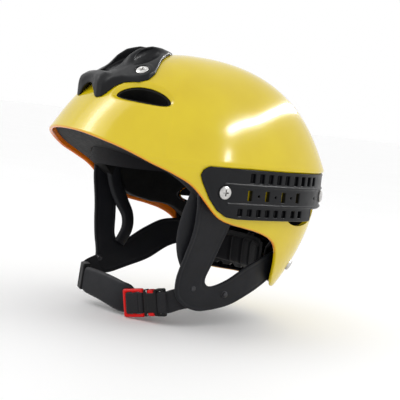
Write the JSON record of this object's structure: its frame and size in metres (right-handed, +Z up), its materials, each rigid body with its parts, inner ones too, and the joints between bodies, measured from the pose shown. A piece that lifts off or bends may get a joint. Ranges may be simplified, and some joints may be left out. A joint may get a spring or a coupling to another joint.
{
  "type": "water rescue helmet",
  "caption": "Moulded water rescue helmet with side accessory rails, front clip, foam liner, leather-look harness and chin strap with side-release buckle.",
  "frame": {"origin": "seat of the wearer's head, on the centre plane at the widest section, 21 mm under the shell's crease line", "axes": "+Z up through the crown, -Y towards the brim, +X towards the wearer's left; the side rails are level"},
  "size_m": [0.2124, 0.2733, 0.254],
  "materials": {
    "shell_gloss": "high gloss yellow moulded shell",
    "eva_foam": "closed-cell foam, matt",
    "pad_fabric": "brushed cloth over foam",
    "black_satin": "satin moulded",
    "steel": "bright zinc",
    "harness_leather": "fine-grained synthetic leather",
    "webbing": "woven",
    "black_moulding": "fine texture",
    "red_moulding": "semi-gloss"
  },
  "bodies": {
    "helmet": {"outer_shell": "shell_gloss", "foam_liner": "eva_foam", "crown_pad": "pad_fabric", "forehead_pad": "pad_fabric", "left_side_pad": "pad_fabric", "right_side_pad": "pad_fabric", "left_rail": "black_satin", "right_rail": "black_satin", "left_rail_screws": "steel", "right_rail_screws": "steel", "front_bracket": "black_satin", "bracket_screws": "steel", "left_rear_rivet": "steel", "right_rear_rivet": "steel", "left_harness": "harness_leather", "right_harness": "harness_leather", "left_inner_strap": "harness_leather", "right_inner_strap": "harness_leather", "left_studs": "steel", "right_studs": "steel", "nape_straps": "webbing", "nape_cradle": "black_moulding", "nape_pad": "pad_fabric", "left_webbing": "webbing", "buckle_female": "black_moulding", "chin_webbing": "webbing", "chin_cover": "harness_leather"},
    "knob": {"adjuster_knob": "black_moulding"},
    "left_rack": {"left_rack": "black_moulding"},
    "right_rack": {"right_rack": "black_moulding"},
    "buckle_male": {"buckle_male": "red_moulding", "male_webbing": "webbing"},
    "upper_prong": {"upper_prong": "red_moulding"},
    "lower_prong": {"lower_prong": "red_moulding"},
    "keeper": {"strap_keeper": "black_moulding"}
  },
  "joints": [
    {"name": "dial_turn", "type": "hinge", "parent": "helmet", "child": "knob", "pos_m": [0, 0.08, -0.066], "axis": [0, 1, 0], "range_deg": [-90, 90]},
    {"name": "left_rack_slide", "type": "slide", "parent": "helmet", "child": "left_rack", "axis": [1, 0, 0], "range_m": [-0.0086, 0.0086]},
    {"name": "right_rack_slide", "type": "slide", "parent": "helmet", "child": "right_rack", "axis": [-1, 0, 0], "range_m": [-0.0086, 0.0086]},
    {"name": "buckle_release", "type": "slide", "parent": "helmet", "child": "buckle_male", "axis": [-0.831, -0.523, -0.1896], "range_m": [0, 0.016], "deforming": ["chin_webbing", "chin_cover"]},
    {"name": "upper_prong_press", "type": "slide", "parent": "buckle_male", "child": "upper_prong", "axis": [0.1605, 0.101, -0.9819], "range_m": [0, 0.002], "stiffness_N_per_m": 2500, "springref_m": -0.002},
    {"name": "lower_prong_press", "type": "slide", "parent": "buckle_male", "child": "lower_prong", "axis": [-0.1605, -0.101, 0.9819], "range_m": [0, 0.002], "stiffness_N_per_m": 2500, "springref_m": -0.002},
    {"name": "keeper_slide", "type": "slide", "parent": "helmet", "child": "keeper", "axis": [0.9848, -0.139, -0.104], "range_m": [0, 0.003]}
  ],
  "couplings": [
    {"joint": "left_rack_slide", "follows": "dial_turn", "m_per_rad": 0.0054},
    {"joint": "right_rack_slide", "follows": "dial_turn", "m_per_rad": 0.0054}
  ]
}
